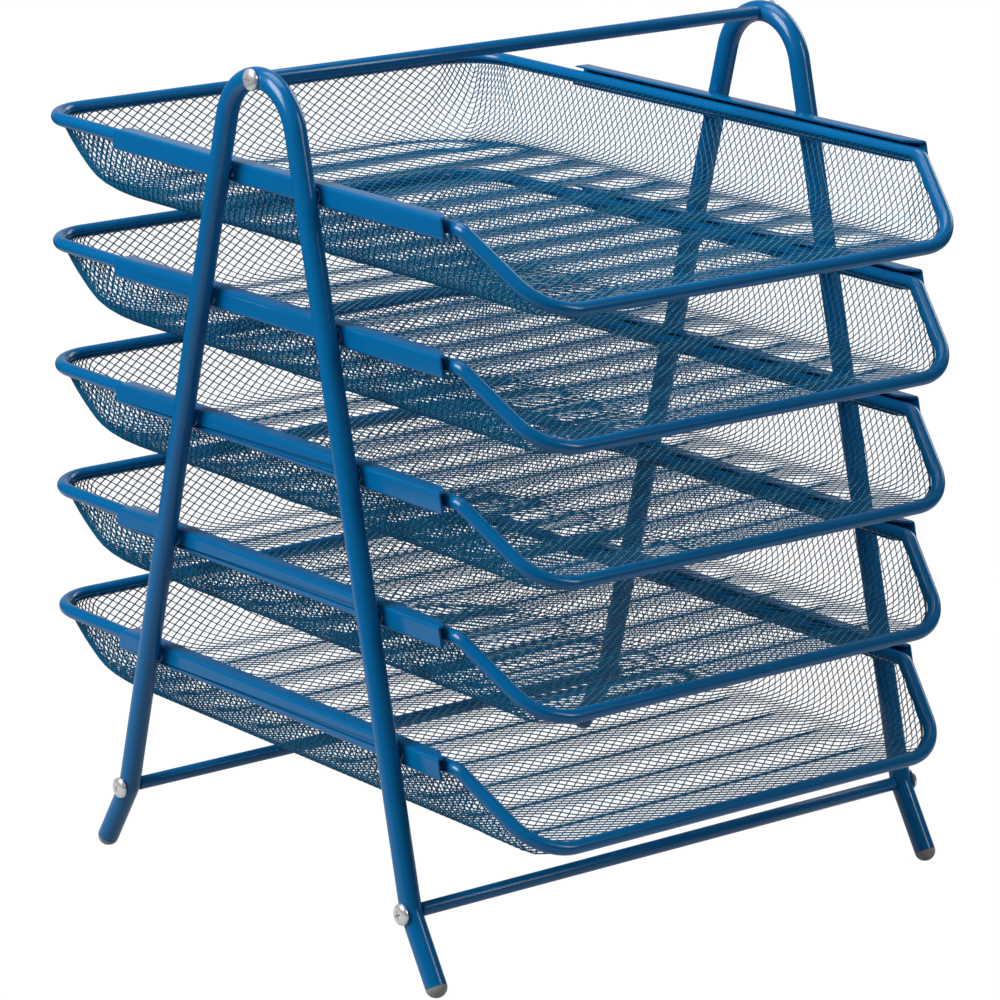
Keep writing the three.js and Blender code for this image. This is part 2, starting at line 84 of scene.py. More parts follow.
# Foot caps
CAP_R = LEG_R - 0.02  # just inside the tube's outline
CAP_EDGE = (0.2, 0.15)  # width and height of the bevel where a cap meets its tube
STEM_R = LEG_R - LEG_WALL - 0.1  # with a little play in the tube
STEM_LENGTH = 8.0

# Screws
HEAD_R = 4.7
HEAD_HEIGHT = 2.6
HEAD_RIM = 0.65  # where the head's side turns into its dome
HEAD_EDGE = (0.3, 0.25)  # width and height of the bevel under the head
SHANK_R = 1.7
SHANK_LENGTH = 14.0
RECESS_REACH = 2.7
RECESS_WIDTH = 1.0
RECESS_DEPTH = 1.7
RECESS_TAPER = 0.5
SCREW_TURN = 0.5  # each screw of a side stands this much further round than the one before, in radians

# Slide channels
CHANNEL_LENGTH, CHANNEL_HEIGHT = extent("left_channel_1")[1:]
CHANNEL_SHEET = 1.0
CHANNEL_FLANGE = 7.5
CHANNEL_BEND_R = 1.4
CHANNEL_INNER_R = 0.5
FLANGE_EDGE_R = 0.25
FLANGE_CUT = 10.0
FRONT_LEAN = 2.5
FRONT_TOP_R = 1.2
REAR_TOP_R = 4.0
TRIM_MARGIN = 1.0  # how far a cutter reaches past the channel that it trims
TRIM_CORNER_R = 0.3  # of the cutter's corners below the channel, where it cuts nothing
BOSS_HEIGHT = 0.75
BOSS_R = 3.0
BOSS_TOP_R = 2.5

# A tray's rim
RIM_R = 3.0
RIM_SAG = 0.45
SIDE_X = 126.5
REAR_Y = 173.1
LIP_Y = -173.1
SLOPE_Y = LIP_Y + 38.3
LIP_DROP = 29.8
LIP_INSET = 14.1
CORNER_R = 24.0
SLOPE_BEND_R = 8.0

# A tray's pressed basket
EDGE_OFFSET = 2.45
EDGE_WRAP = 2.8  # how far the sheet's edge runs on up the rod's inner side
WALL_ANGLE = math.radians(74)
FLOOR_BEND_R = 13.0
FLOOR_CORNER_R = 52.0
FLOOR_CORNER_REACH = 36.0
CORNER_FULLNESS = 1.8  # rear corners: 1 is a plain cone, more is steep under the rod and round low down
FLOOR_SAG = 1.0
RIB_COUNT = 10
RIB_PITCH = 30.3
RIB_DEPTH = 2.2
RIB_HALF_WIDTHS = (2.0, 10.0)  # at its bottom, and where it meets the floor
RIB_ENDS = (19.0, 1.0)  # how far before the wall a rib starts to rise, and where it has gone

# The strands of the expanded metal
DIAMOND = (5.83, 3.82)
STRAND_THICKNESS = 0.64
STRAND_WIDTH = 0.57
STRAND_TWIST = 0.22  # how far a strand's rear edge is below its middle, and its front edge above it
LEAST_OPENING = 0.1  # share of a diamond that its hole keeps where the sheet is drawn together
LEAST_AREA = 0.4  # smaller scraps of a diamond at the sheet's edge are left out, in square millimetres

# How finely round forms are divided
BEND_STEP = math.radians(4)
DOME_STEP = 7.5  # degrees
TUBE_SIDES = 40
ROD_SIDES = 24
BAR_SIDES = 32
BOSS_SIDES = 32
CAP_SIDES = 48
SCREW_SIDES = 64
RIM_STEPS = 400  # points tried on each stretch of the rim's line for the one that is nearest


# Paths and solids


def unit(v):
    v = np.asarray(v, float)
    return v / np.linalg.norm(v, axis=-1, keepdims=True)


def bend(before, corner, after, radius, step=BEND_STEP):
    """Points and tangents of the arc that rounds off a corner."""
    inward, outward = unit(corner - before), unit(after - corner)
    turn = math.acos(np.clip(inward @ outward, -1, 1))
    start = corner - inward * radius * math.tan(turn / 2)
    normal = unit(outward - inward * math.cos(turn))
    angles = np.linspace(0, turn, max(3, math.ceil(turn / step) + 1))[:, None]
    points = start + inward * radius * np.sin(angles) + normal * radius * (1 - np.cos(angles))
    return points, inward * np.cos(angles) + normal * np.sin(angles)


def bent_line(corners, radii, closed=False):
    """Points and tangents of a bent rod: straight runs joined by arcs, one for each radius."""
    corners = [np.asarray(c, float) for c in corners]
    stretches = []
    for k, radius in enumerate(radii, 0 if closed else 1):
        stretches.append(bend(corners[k - 1], corners[k], corners[(k + 1) % len(corners)], radius))
    if not closed:
        stretches.insert(0, (corners[:1], [unit(corners[1] - corners[0])]))
        stretches.append((corners[-1:], [unit(corners[-1] - corners[-2])]))
    points, tangents = zip(*stretches)
    return np.vstack(points), np.vstack(tangents)


def circle(radius, sides):
    angles = np.arange(sides) * 2 * math.pi / sides
    return np.stack([radius * np.cos(angles), radius * np.sin(angles)], 1)


def sweep(line, section, reference, closed=False):
    """Sweeps a section along a bent line. The section's first axis is square to the reference."""
    points, tangents = line
    side = unit(np.cross(reference, tangents))
    up = np.cross(tangents, side)
    count, sides = len(points), len(section)
    rings = points[:, None] + side[:, None] * section[:, :1] + up[:, None] * section[:, 1:]
    faces = []
    for k in range(count if closed else count - 1):
        here, there = k * sides, (k + 1) % count * sides
        for s in range(sides):
            t = (s + 1) % sides
            faces.append((here + s, here + t, there + t, there + s))
    if not closed:
        faces.append(tuple(reversed(range(sides))))
        faces.append(tuple(range((count - 1) * sides, count * sides)))
    return rings.reshape(-1, 3), faces


def lathe(profile, sides):
    """Turns a profile of (radius, height) about Z. It starts and ends on the axis."""
    around = circle(1, sides)
    rings = [np.column_stack([r * around, np.full(sides, height)]) for r, height in profile[1:-1]]
    vertices = np.vstack([[[0, 0, profile[0][1]]], *rings, [[0, 0, profile[-1][1]]]])
    top, last = 1 + (len(rings) - 1) * sides, len(vertices) - 1
    faces = []
    for s in range(sides):
        t = (s + 1) % sides
        faces.append((0, 1 + t, 1 + s))
        for low in range(1, top, sides):
            high = low + sides
            faces.append((low + s, low + t, high + t, high + s))
        faces.append((top + s, top + t, last))
    return vertices, faces


def dome(radius, rim, top):
    """The profile of a dome from its rim's height to just before its top's, which is on the axis."""
    angles = np.radians(np.arange(0, 90, DOME_STEP))
    return [(radius * math.cos(a), rim + (top - rim) * math.sin(a)) for a in angles]


def rounded(corners, radii, steps):
    """A closed outline in a plane, each corner rounded off by its radius, with steps to a right angle."""
    corners = [np.array([*c, 0.0]) for c in corners]
    outline = []
    for k, (corner, radius) in enumerate(zip(corners, radii)):
        following = corners[(k + 1) % len(corners)]
        arc, _ = bend(corners[k - 1], corner, following, radius, math.pi / 2 / steps)
        outline.extend(arc[:, :2])
    return outline


def prism(outline, low, high):
    """A closed outline in X and Y, drawn anticlockwise, raised along Z."""
    count = len(outline)
    vertices = np.vstack([np.column_stack([outline, np.full(count, z)]) for z in (low, high)])
    faces = [tuple(reversed(range(count))), tuple(range(count, 2 * count))]
    for k in range(count):
        t = (k + 1) % count
        faces.append((k, t, count + t, count + k))
    return vertices, faces


def make_mesh(name, shape):
    """A mesh in metres."""
    vertices, faces = shape
    mesh = bpy.data.meshes.new(name)
    mesh.from_pydata((np.asarray(vertices) * METRES).tolist(), [], [tuple(map(int, f)) for f in faces])
    mesh.update()
    return mesh


def smoothed(mesh, below=40):
    """The mesh, shaded smooth over the edges that turn by less than so many degrees."""
    mesh.shade_smooth()
    mesh.set_sharp_from_angle(angle=math.radians(below))
    return mesh


def cut(mesh, cutter, operation):
    """The mesh joined with, cut by or trimmed to another, as a new mesh."""
    tools = []
    for part in (mesh, cutter):
        tool = bpy.data.objects.new(part.name, part)
        bpy.context.scene.collection.objects.link(tool)
        tools.append(tool)
    modifier = tools[0].modifiers.new("cut", "BOOLEAN")
    modifier.operation = operation
    modifier.solver = "EXACT"
    modifier.object = tools[1]
    seen = tools[0].evaluated_get(bpy.context.evaluated_depsgraph_get())
    made = bpy.data.meshes.new_from_object(seen)
    made.name = mesh.name
    for tool in tools:
        bpy.data.objects.remove(tool)
    return made


def at(x, y, z, turn=Matrix.Identity(4)):
    """A place in millimetres and a turn, as a matrix in metres."""
    return Matrix.Translation(Vector((x, y, z)) * METRES) @ turn


def add(name, mesh, material, body, node, place):
    """Shows a mesh as a piece that rides on a body and stands for a node of the frame."""
    piece = bpy.data.objects.new(name, mesh)
    bpy.context.scene.collection.objects.link(piece)
    piece.matrix_world = place
    if not mesh.materials:
        mesh.materials.append(material)
    bpy.context.view_layer.update()
    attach(piece, body)
    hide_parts(node)


# Materials


class Wire:
    """A value, a colour or a shader in a node tree. Arithmetic on values adds Math nodes."""

    def __init__(self, tree, socket=None):
        self.tree, self.socket = tree, socket

    def node(self, kind, settings=None, sockets=None, output=0):
        """Adds a node: its settings come first, then the values or links of its sockets."""
        made = self.tree.nodes.new(kind)
        for key, value in (settings or {}).items():
            setattr(made, key, value)
        for key, value in (sockets or {}).items():
            if isinstance(value, Wire):
                self.tree.links.new(value.socket, made.inputs[key])
            else:
                made.inputs[key].default_value = value
        return Wire(self.tree, made.outputs[output] if made.outputs else None)

    def _math(self, operation, *values):
        return self.node("ShaderNodeMath", {"operation": operation}, dict(enumerate(values)))

    def __add__(self, other):
        return self._math("ADD", self, other)

    def __mul__(self, other):
        return self._math("MULTIPLY", self, other)

    __radd__, __rmul__ = __add__, __mul__


def new_material(name):
    material = bpy.data.materials.new(name)
    material.use_nodes = True
    material.node_tree.nodes.clear()
    return material, Wire(material.node_tree)


def finish_material(wire, shader):
    wire.node("ShaderNodeOutputMaterial", {}, {"Surface": shader})


def noise(wire, scale, detail, rough=0.5):
    """Noise that stays where it is on a piece. Its scale counts its largest features in a metre."""
    place = wire.node("ShaderNodeTexCoord", output="Object")
    sockets = {"Vector": place, "Scale": scale, "Detail": detail, "Roughness": rough}
    return wire.node("ShaderNodeTexNoise", {"noise_dimensions": "3D"}, sockets)


def blend(wire, share, colours):
    """A colour that goes from the first to the second as the share goes from 0 to 1."""
    sockets = {0: share, 6: colours[0], 7: colours[1]}  # by number, since the names repeat
    return wire.node("ShaderNodeMix", {"data_type": "RGBA"}, sockets, output=2)


def between(share, values):
    """A value that goes from the first to the second as the share goes from 0 to 1."""
    return share * (values[1] - values[0]) + values[0]


def bump(wire, height, strength, distance):
    sockets = {"Strength": strength, "Distance": distance, "Height": height}
    return wire.node("ShaderNodeBump", {}, sockets)


def glossy_material(name, describe):
    """A material of one glossy shader, whose sockets come from a function of the tree's wire."""
    material, wire = new_material(name)
    finish_material(wire, wire.node("ShaderNodeBsdfPrincipled", {}, describe(wire)))
    return material


PAINT_COLOURS = ((0.000, 0.130, 0.345, 1.0), (0.000, 0.115, 0.310, 1.0))
PAINT_ROUGHNESS = (0.19, 0.27)
PAINT_SPECULAR = 0.28
PAINT_PATCHES = 38.0
ORANGE_PEEL = 620.0
STRAND_COLOUR = (0.000, 0.130, 0.275, 1.0)
STRAND_ROUGHNESS = (0.26, 0.36)
STRAND_SPECULAR = 0.25
STRAND_PATCHES = 90.0
ZINC_COLOURS = ((0.90, 0.91, 0.92, 1.0), (0.76, 0.77, 0.78, 1.0))
ZINC_ROUGHNESS = (0.20, 0.30)
ZINC_CLOUDS = 900.0
CAP_COLOURS = ((0.235, 0.235, 0.228, 1.0), (0.285, 0.285, 0.275, 1.0))
CAP_ROUGHNESS = (0.46, 0.58)
CAP_GRAIN = 2600.0
CAP_RUBS = 160.0


def powder_coat(wire):
    """Glossy blue powder coat: a smooth skin with a faint orange peel, a touch deeper in places."""
    patch = noise(wire, PAINT_PATCHES, detail=3.0)
    peel = noise(wire, ORANGE_PEEL, detail=1.0)
    return {
        "Base Color": blend(wire, patch, PAINT_COLOURS),
        "Roughness": between(patch, PAINT_ROUGHNESS),
        "Normal": bump(wire, peel, strength=0.10, distance=0.00012),
        "Specular IOR Level": PAINT_SPECULAR,
        "Coat Weight": 0.25,
        "Coat Roughness": 0.06,
    }


def mesh_paint(wire):
    """The same paint on the fine strands, where it runs a little thicker and duller."""
    return {
        "Base Color": STRAND_COLOUR,
        "Roughness": between(noise(wire, STRAND_PATCHES, detail=2.0), STRAND_ROUGHNESS),
        "Specular IOR Level": STRAND_SPECULAR,
    }


def bright_zinc(wire):
    """Bright zinc plate with the faint cloudiness of barrel plating."""
    cloud = noise(wire, ZINC_CLOUDS, detail=3.0, rough=0.6)
    return {
        "Base Color": blend(wire, cloud, ZINC_COLOURS),
        "Metallic": 0.6,
        "Roughness": between(cloud, ZINC_ROUGHNESS),
        "Normal": bump(wire, cloud, strength=0.15, distance=0.0001),
    }


def cap_plastic(wire):
    """Satin grey plastic, moulded with a fine matte grain and lightly rubbed."""
    grain = noise(wire, CAP_GRAIN, detail=2.0, rough=0.6)
    rub = noise(wire, CAP_RUBS, detail=3.0)
    return {
        "Base Color": blend(wire, rub, CAP_COLOURS),
        "Roughness": between(rub, CAP_ROUGHNESS),
        "Normal": bump(wire, grain, strength=0.2, distance=0.0001),
    }


PAINT = glossy_material("powder_coat", powder_coat)
MESH_PAINT = glossy_material("mesh_paint", mesh_paint)
ZINC_PLATE = glossy_material("bright_zinc", bright_zinc)
CAP = glossy_material("cap_plastic", cap_plastic)


# The stand


APEX_RISE = BARS["top"][2] - APEX_BEND_R - KNEE_HEIGHT
APEX_SIDE = math.hypot(KNEE_HALF_SPREAD, APEX_RISE)
LEG_LEAN = math.atan2(KNEE_HALF_SPREAD, APEX_RISE) - math.asin(APEX_BEND_R / APEX_SIDE)
FOOT_LEAN = math.atan2(FOOT_HALF_SPREAD - KNEE_HALF_SPREAD, KNEE_HEIGHT - FOOT_CENTRE_HEIGHT)


def frame_line():
    """The centre line of an A-frame, from the front foot over the apex to the rear foot, at X = 0."""
    crossing = KNEE_HEIGHT + KNEE_HALF_SPREAD / math.tan(LEG_LEAN)
    corners = [
        (0, -FOOT_HALF_SPREAD, FOOT_CENTRE_HEIGHT),
        (0, -KNEE_HALF_SPREAD, KNEE_HEIGHT),
        (0, 0, crossing),
        (0, KNEE_HALF_SPREAD, KNEE_HEIGHT),
        (0, FOOT_HALF_SPREAD, FOOT_CENTRE_HEIGHT),
    ]
    return bent_line(corners, [KNEE_BEND_R, APEX_BEND_R, KNEE_BEND_R])


def frame_tube():
    """A hollow tube along the A-frame's line, open at its two ends."""
    line, across = frame_line(), (1, 0, 0)
    outer, faces = sweep(line, circle(LEG_R, TUBE_SIDES), across)
    inner, inner_faces = sweep(line, circle(LEG_R - LEG_WALL, TUBE_SIDES), across)
    shift = len(outer)
    walls = faces[:-2] + [tuple(shift + v for v in reversed(f)) for f in inner_faces[:-2]]
    last = shift - TUBE_SIDES
    for s in range(TUBE_SIDES):
        t = (s + 1) % TUBE_SIDES
        walls.append((t, s, shift + s, shift + t))
        walls.append((last + s, last + t, shift + last + t, shift + last + s))
    return np.vstack([outer, inner]), walls


def cross_bar():
    """A bar along X, a little rounded at its ends where it butts against the tubes."""
    half, flat = LEG_X - LEG_R, BAR_R - BAR_END_R
    start = []
    for angle in map(math.radians, (0, 30, 60, 90)):
        start.append((flat + BAR_END_R * math.sin(angle), -half + BAR_END_R * (1 - math.cos(angle))))
    end = [(r, -h) for r, h in reversed(start)]
    vertices, faces = lathe([(0, -half), *start, *end, (0, half)], BAR_SIDES)
    return vertices[:, [2, 0, 1]], faces


def screw():
    """A low-domed cross-recess screw whose head points along +Z."""
    bevel_width, bevel_height = HEAD_EDGE
    profile = [
        (0, -SHANK_LENGTH),
        (SHANK_R, -SHANK_LENGTH),
        (SHANK_R, 0),
        (HEAD_R - bevel_width, 0),
        (HEAD_R, bevel_height),
        *dome(HEAD_R, HEAD_RIM, HEAD_HEIGHT),
        (0, HEAD_HEIGHT),
    ]
    half = RECESS_WIDTH / 2
    arm = [(RECESS_REACH, -half), (RECESS_REACH, half), (half, half)]
    cross = []
    for c, s in ((1, 0), (0, 1), (-1, 0), (0, -1)):
        cross.extend([(c * x - s * y, s * x + c * y) for x, y in arm])
    vertices, faces = prism(cross, HEAD_HEIGHT - RECESS_DEPTH, HEAD_HEIGHT + 1)
    is_bottom = vertices[:, 2] < HEAD_HEIGHT
    vertices[is_bottom, :2] *= RECESS_TAPER
    head = make_mesh("screw", lathe(profile, SCREW_SIDES))
    recess = make_mesh("recess", (vertices, faces))
    return smoothed(cut(head, recess, "DIFFERENCE"), below=32)


def foot_cap(lean):
    """A domed cap with its stem in the tube, turned about X by its leg's lean, flat where it stands."""
    bevel_width, bevel_height = CAP_EDGE
    profile = [
        (0, STEM_LENGTH),
        (STEM_R, STEM_LENGTH),
        (STEM_R, 0),
        (CAP_R - bevel_width, 0),
        *dome(CAP_R, -bevel_height, -CAP_R),
        (0, -CAP_R),
    ]
    vertices, faces = lathe(profile, CAP_SIDES)
    x, y, z = vertices.T
    c, s = math.cos(lean), math.sin(lean)
    standing = np.stack([x, c * y - s * z, np.maximum(s * y + c * z, -FOOT_CENTRE_HEIGHT)], 1)
    return standing, [tuple(reversed(f)) for f in faces]


def build_stand():
    tube = smoothed(make_mesh("a_frame_tube", frame_tube()))
    bar = smoothed(make_mesh("cross_bar", cross_bar()))
    fastener = screw()
    caps = {}
    for end, way in ENDS.items():
        caps[end] = smoothed(make_mesh(f"{end}_cap", foot_cap(way * FOOT_LEAN)))
    for end, (_, y, z) in BARS.items():
        add(f"{end}_cross_bar", bar, PAINT, "frame", f"{end}_bar", at(0, y, z))
    for hand, side in HANDS.items():
        place = at(side * LEG_X, FRAME_Y, 0)
        add(f"{hand}_a_frame", tube, PAINT, "frame", f"{hand}_frame_tube", place)
        outward = Matrix.Rotation(side * math.pi / 2, 4, "Y")
        for spin, (end, (_, y, z)) in enumerate(BARS.items()):
            turn = outward @ Matrix.Rotation(SCREW_TURN * spin, 4, "Z")
            place = at(side * (LEG_X + LEG_R), y, z, turn)
            node = f"{hand}_{end}_screw"
            add(f"{hand}_{end}_bolt", fastener, ZINC_PLATE, "frame", node, place)
        for end, way in ENDS.items():
            foot = f"{hand}_{end}_foot"
            place = at(side * LEG_X, FRAME_Y + way * FOOT_HALF_SPREAD, FOOT_CENTRE_HEIGHT)
            add(foot, caps[end], CAP, "frame", f"{foot}_cap", place)


# The channels


def channel_strip():
    """A bent strip of sheet along Y, open towards -X, with its web's outer face at X = 0."""
    half, inner = CHANNEL_HEIGHT / 2, CHANNEL_HEIGHT / 2 - CHANNEL_SHEET
    flange, sheet = CHANNEL_FLANGE, CHANNEL_SHEET
    outer_radii = [FLANGE_EDGE_R, CHANNEL_BEND_R, CHANNEL_BEND_R, FLANGE_EDGE_R]
    inner_radii = [FLANGE_EDGE_R, CHANNEL_INNER_R, CHANNEL_INNER_R, FLANGE_EDGE_R]
    outer = [(-flange, -half), (0, -half), (0, half), (-flange, half)]
    inner = [(-flange, inner), (-sheet, inner), (-sheet, -inner), (-flange, -inner)]
    section = rounded(outer + inner, outer_radii + inner_radii, steps=5)
    vertices, faces = prism(section, -CHANNEL_LENGTH / 2, CHANNEL_LENGTH / 2)
    return np.stack([vertices[:, 0], -vertices[:, 2], vertices[:, 1]], 1), faces


def plain_channel():
    """The strip trimmed: the web's top corners are rounded, and the flanges cut back at the front."""
    half, past = CHANNEL_HEIGHT / 2, -2 * CHANNEL_FLANGE
    front, rear = -CHANNEL_LENGTH / 2, CHANNEL_LENGTH / 2
    below = -half - TRIM_MARGIN
    outline = [(front, below), (rear, below), (rear, half), (front + FRONT_LEAN, half)]
    side = rounded(outline, [TRIM_CORNER_R, TRIM_CORNER_R, REAR_TOP_R, FRONT_TOP_R], steps=6)
    vertices, faces = prism(side, -CHANNEL_FLANGE - 2 * TRIM_MARGIN, 2 * TRIM_MARGIN)
    trim = make_mesh("trim", (vertices[:, [2, 0, 1]], faces))
    slant = [
        (past, front - TRIM_MARGIN),
        (-CHANNEL_BEND_R, front - TRIM_MARGIN),
        (-CHANNEL_BEND_R, front),
        (-CHANNEL_FLANGE, front + FLANGE_CUT),
        (past, front + FLANGE_CUT),
    ]
    cutter = make_mesh("slant", prism(slant, -CHANNEL_HEIGHT, CHANNEL_HEIGHT))
    return cut(cut(make_mesh("channel", channel_strip()), trim, "INTERSECT"), cutter, "DIFFERENCE")


def with_bosses(channel, y, z):
    """The channel whose middle stands at y and z, with its two bosses behind the legs."""
    root = -CHANNEL_SHEET / 2
    boss = [(0, root), (BOSS_R, root), (BOSS_R, 0), (BOSS_TOP_R, BOSS_HEIGHT), (0, BOSS_HEIGHT)]
    vertices, faces = lathe(boss, BOSS_SIDES)
    spread = KNEE_HALF_SPREAD - (z - KNEE_HEIGHT) * math.tan(LEG_LEAN)
    for way in ENDS.values():
        moved = vertices[:, [2, 0, 1]] + (0, FRAME_Y - y + way * spread, 0)
        channel = cut(channel, make_mesh("boss", (moved, faces)), "UNION")
    return smoothed(channel, below=28)


def build_channels():
    plain = plain_channel()
    for level in TRAYS:
        _, y, z = middle(f"right_channel_{level}")
        right = with_bosses(plain, y, z)
        left = right.copy()
        left.transform(Matrix.Scale(-1, 4, (1, 0, 0)))
        left.flip_normals()
        for hand, shape in (("left", left), ("right", right)):
            node = f"{hand}_channel_{level}"
            x = middle(node)[0] + HANDS[hand] * (extent(node)[0] / 2 - BOSS_HEIGHT)
            add(f"{hand}_rail_{level}", shape, PAINT, "frame", node, at(x, y, z))


# The trays


def rim_line():
    """A rim's closed centre line, with Z = 0 along its sides."""
    front_x = SIDE_X - LIP_INSET
    corners = [
        (-SIDE_X, REAR_Y, 0),
        (-SIDE_X, SLOPE_Y, 0),
        (-front_x, LIP_Y, -LIP_DROP),
        (front_x, LIP_Y, -LIP_DROP),
        (SIDE_X, SLOPE_Y, 0),
        (SIDE_X, REAR_Y, 0),
    ]
    side_radii = [CORNER_R, SLOPE_BEND_R, CORNER_R]
    return bent_line(corners, side_radii + side_radii[::-1], closed=True)


FLOOR_LEVEL = -LIP_DROP - EDGE_OFFSET
BEND_LENGTH = FLOOR_BEND_R * WALL_ANGLE
STRAIGHT_LENGTH = (LIP_DROP - FLOOR_BEND_R * (1 - math.cos(WALL_ANGLE))) / math.sin(WALL_ANGLE)
WALL_LENGTH = BEND_LENGTH + STRAIGHT_LENGTH


def climb(length):
    """How far out and up the wall has come after a length of sheet from the floor's edge."""
    angle = np.minimum(length / FLOOR_BEND_R, WALL_ANGLE)
    straight = np.maximum(length - BEND_LENGTH, 0)
    out = FLOOR_BEND_R * np.sin(angle) + straight * math.cos(WALL_ANGLE)
    up = FLOOR_BEND_R * (1 - np.cos(angle)) + straight * math.sin(WALL_ANGLE)
    return out, up


WALL_REACH = float(climb(WALL_LENGTH)[0])
FLOOR_HALF_WIDTH = SIDE_X - EDGE_OFFSET - WALL_REACH
FLOOR_REAR_Y = REAR_Y - EDGE_OFFSET - WALL_REACH
EDGE_CORNER_R = CORNER_R - EDGE_OFFSET
SHEET_SIDE = FLOOR_HALF_WIDTH + WALL_LENGTH
SHEET_REAR = FLOOR_REAR_Y + WALL_LENGTH
SHEET_FRONT = LIP_Y + EDGE_OFFSET


def front_edge():
    """The sheet's edge beside the rim, from the lip to the sides, as rows of Y, X and Z."""
    points, tangents = rim_line()
    chosen = (points[:, 0] > 0) & (points[:, 1] < SLOPE_Y + SLOPE_BEND_R)
    points, tangents = points[chosen], tangents[chosen]
    inward = unit(np.cross((0, 0, 1), tangents))
    below = np.cross(inward, tangents)
    below *= -np.sign(below[:, 2:])
    edge = points + EDGE_OFFSET * (inward + below)
    edge = edge[np.argsort(edge[:, 1])]
    edge[:, 2] = np.maximum.accumulate(edge[:, 2])
    return edge[:, 1], edge[:, 0], np.clip(edge[:, 2], FLOOR_LEVEL, -EDGE_OFFSET)


ROWS_Y, ROWS_X, ROWS_Z = front_edge()


def section_at(v):
    """Of the section at v: the floor's half width, and the wall's share of its full height."""
    share = (np.interp(v, ROWS_Y, ROWS_Z) - FLOOR_LEVEL) / LIP_DROP
    return np.interp(v, ROWS_Y, ROWS_X) - share * WALL_REACH, share


def smooth_step(low, high, value):
    t = np.clip((value - low) / (high - low), 0, 1)
    return t * t * (3 - 2 * t)


def pressed(u, v):
    """How far the floor's ribs and its sag lower the sheet."""
    rib = np.clip(np.round((v - SLOPE_Y) / RIB_PITCH), 0, RIB_COUNT - 1) * RIB_PITCH + SLOPE_Y
    ends = [FLOOR_HALF_WIDTH - distance for distance in RIB_ENDS]
    groove = 1 - smooth_step(*RIB_HALF_WIDTHS, np.abs(v - rib))
    groove *= 1 - smooth_step(*ends, np.abs(u))
    along = (v - SHEET_FRONT) / (FLOOR_REAR_Y - SHEET_FRONT)
    sag = np.clip(1 - (u / FLOOR_HALF_WIDTH) ** 2, 0, 1) * np.clip(4 * along * (1 - along), 0, 1)
    return RIB_DEPTH * groove + FLOOR_SAG * sag


def front_part(a, v):
    """The sheet beside the sloping rim: its side walls grow with the rim's height. a is abs(u)."""
    foot, share = section_at(v)
    least_share = 0.02
    out, up = climb(np.maximum(a - foot, 0) / np.maximum(share, least_share))
    return np.stack([np.where(a > foot, foot + share * out, a), v, FLOOR_LEVEL + share * up], -1)


def rear_part(a, v):
    """The sheet behind the slope: floor, side and rear walls and the corners between. a is abs(u)."""
    reach_x = a - (FLOOR_HALF_WIDTH - FLOOR_CORNER_REACH)
    reach_y = v - (FLOOR_REAR_Y - FLOOR_CORNER_REACH)
    ring = np.maximum(reach_x, reach_y)
    is_inside = ring <= 0
    past_floor = ring - FLOOR_CORNER_REACH
    out, up = climb(np.maximum(past_floor, 0))
    grown = np.minimum(past_floor, 0) + out
    half_width, rear = FLOOR_HALF_WIDTH + grown, FLOOR_REAR_Y + grown

    floor_radius = FLOOR_CORNER_R * np.maximum(ring, 0) / FLOOR_CORNER_REACH
    left_to_climb = np.clip(1 - past_floor / WALL_LENGTH, 0, 1)
    wall_radius = EDGE_CORNER_R + (FLOOR_CORNER_R - EDGE_CORNER_R) * left_to_climb**CORNER_FULLNESS
    radius = np.where(past_floor < 0, floor_radius, wall_radius)

    corner_length = np.maximum(radius + past_floor - grown, TINY)
    before = ring - np.minimum(reach_x, reach_y)
    is_side = reach_x >= reach_y
    angle = math.pi / 4 * (1 + np.where(is_side, -1, 1) * np.minimum(before / corner_length, 1))
    is_straight = (before >= corner_length) | is_inside
    straight_x = np.where(is_side & ~is_inside, half_width, a)
    straight_y = np.where(is_side | is_inside, v, rear)
    x = np.where(is_straight, straight_x, half_width - radius + radius * np.cos(angle))
    y = np.where(is_straight, straight_y, rear - radius + radius * np.sin(angle))
    return np.stack([x, y, FLOOR_LEVEL + up], -1)


def sheet_point(u, v):
    """The basket's surface. u and v count along the sheet, across it and towards the rear."""
    a = np.abs(u)
    is_front = v < ROWS_Y[-1]
    point = np.where(is_front[..., None], front_part(a, v), rear_part(a, v))
    point[..., 0] *= np.sign(u)
    point[..., 2] -= pressed(u, v)
    return point


def sheet_normal(u, v, step=0.25):
    """The basket's normals, on the side that the paper lies on."""
    across = sheet_point(u + step, v) - sheet_point(u - step, v)
    along = sheet_point(u, v + step) - sheet_point(u, v - step)
    return unit(np.cross(across, along))


def laid_on_rim(points, lengths):
    """Points of the sheet's edge moved on by their lengths up the rod's inner side, with normals."""
    line, tangents = rim_line()
    steps = np.linspace(0, 1, RIM_STEPS, endpoint=False)[:, None]
    line = np.vstack([a + (b - a) * steps for a, b in zip(line, np.roll(line, -1, axis=0))])
    tangents = np.repeat(tangents, len(steps), axis=0)
    nearest = [np.argmin(((line - point) ** 2).sum(axis=1)) for point in points]
    along = tangents[nearest]
    radial = points - line[nearest]
    radial -= (radial * along).sum(axis=1, keepdims=True) * along
    radius = np.linalg.norm(radial, axis=1, keepdims=True)
    turned = np.cross(along, radial)
    turned *= np.sign(turned[:, 2:])
    angle = lengths[:, None] / radius
    laid = radial * np.cos(angle) + turned * np.sin(angle)
    return points - radial + laid, laid / radius


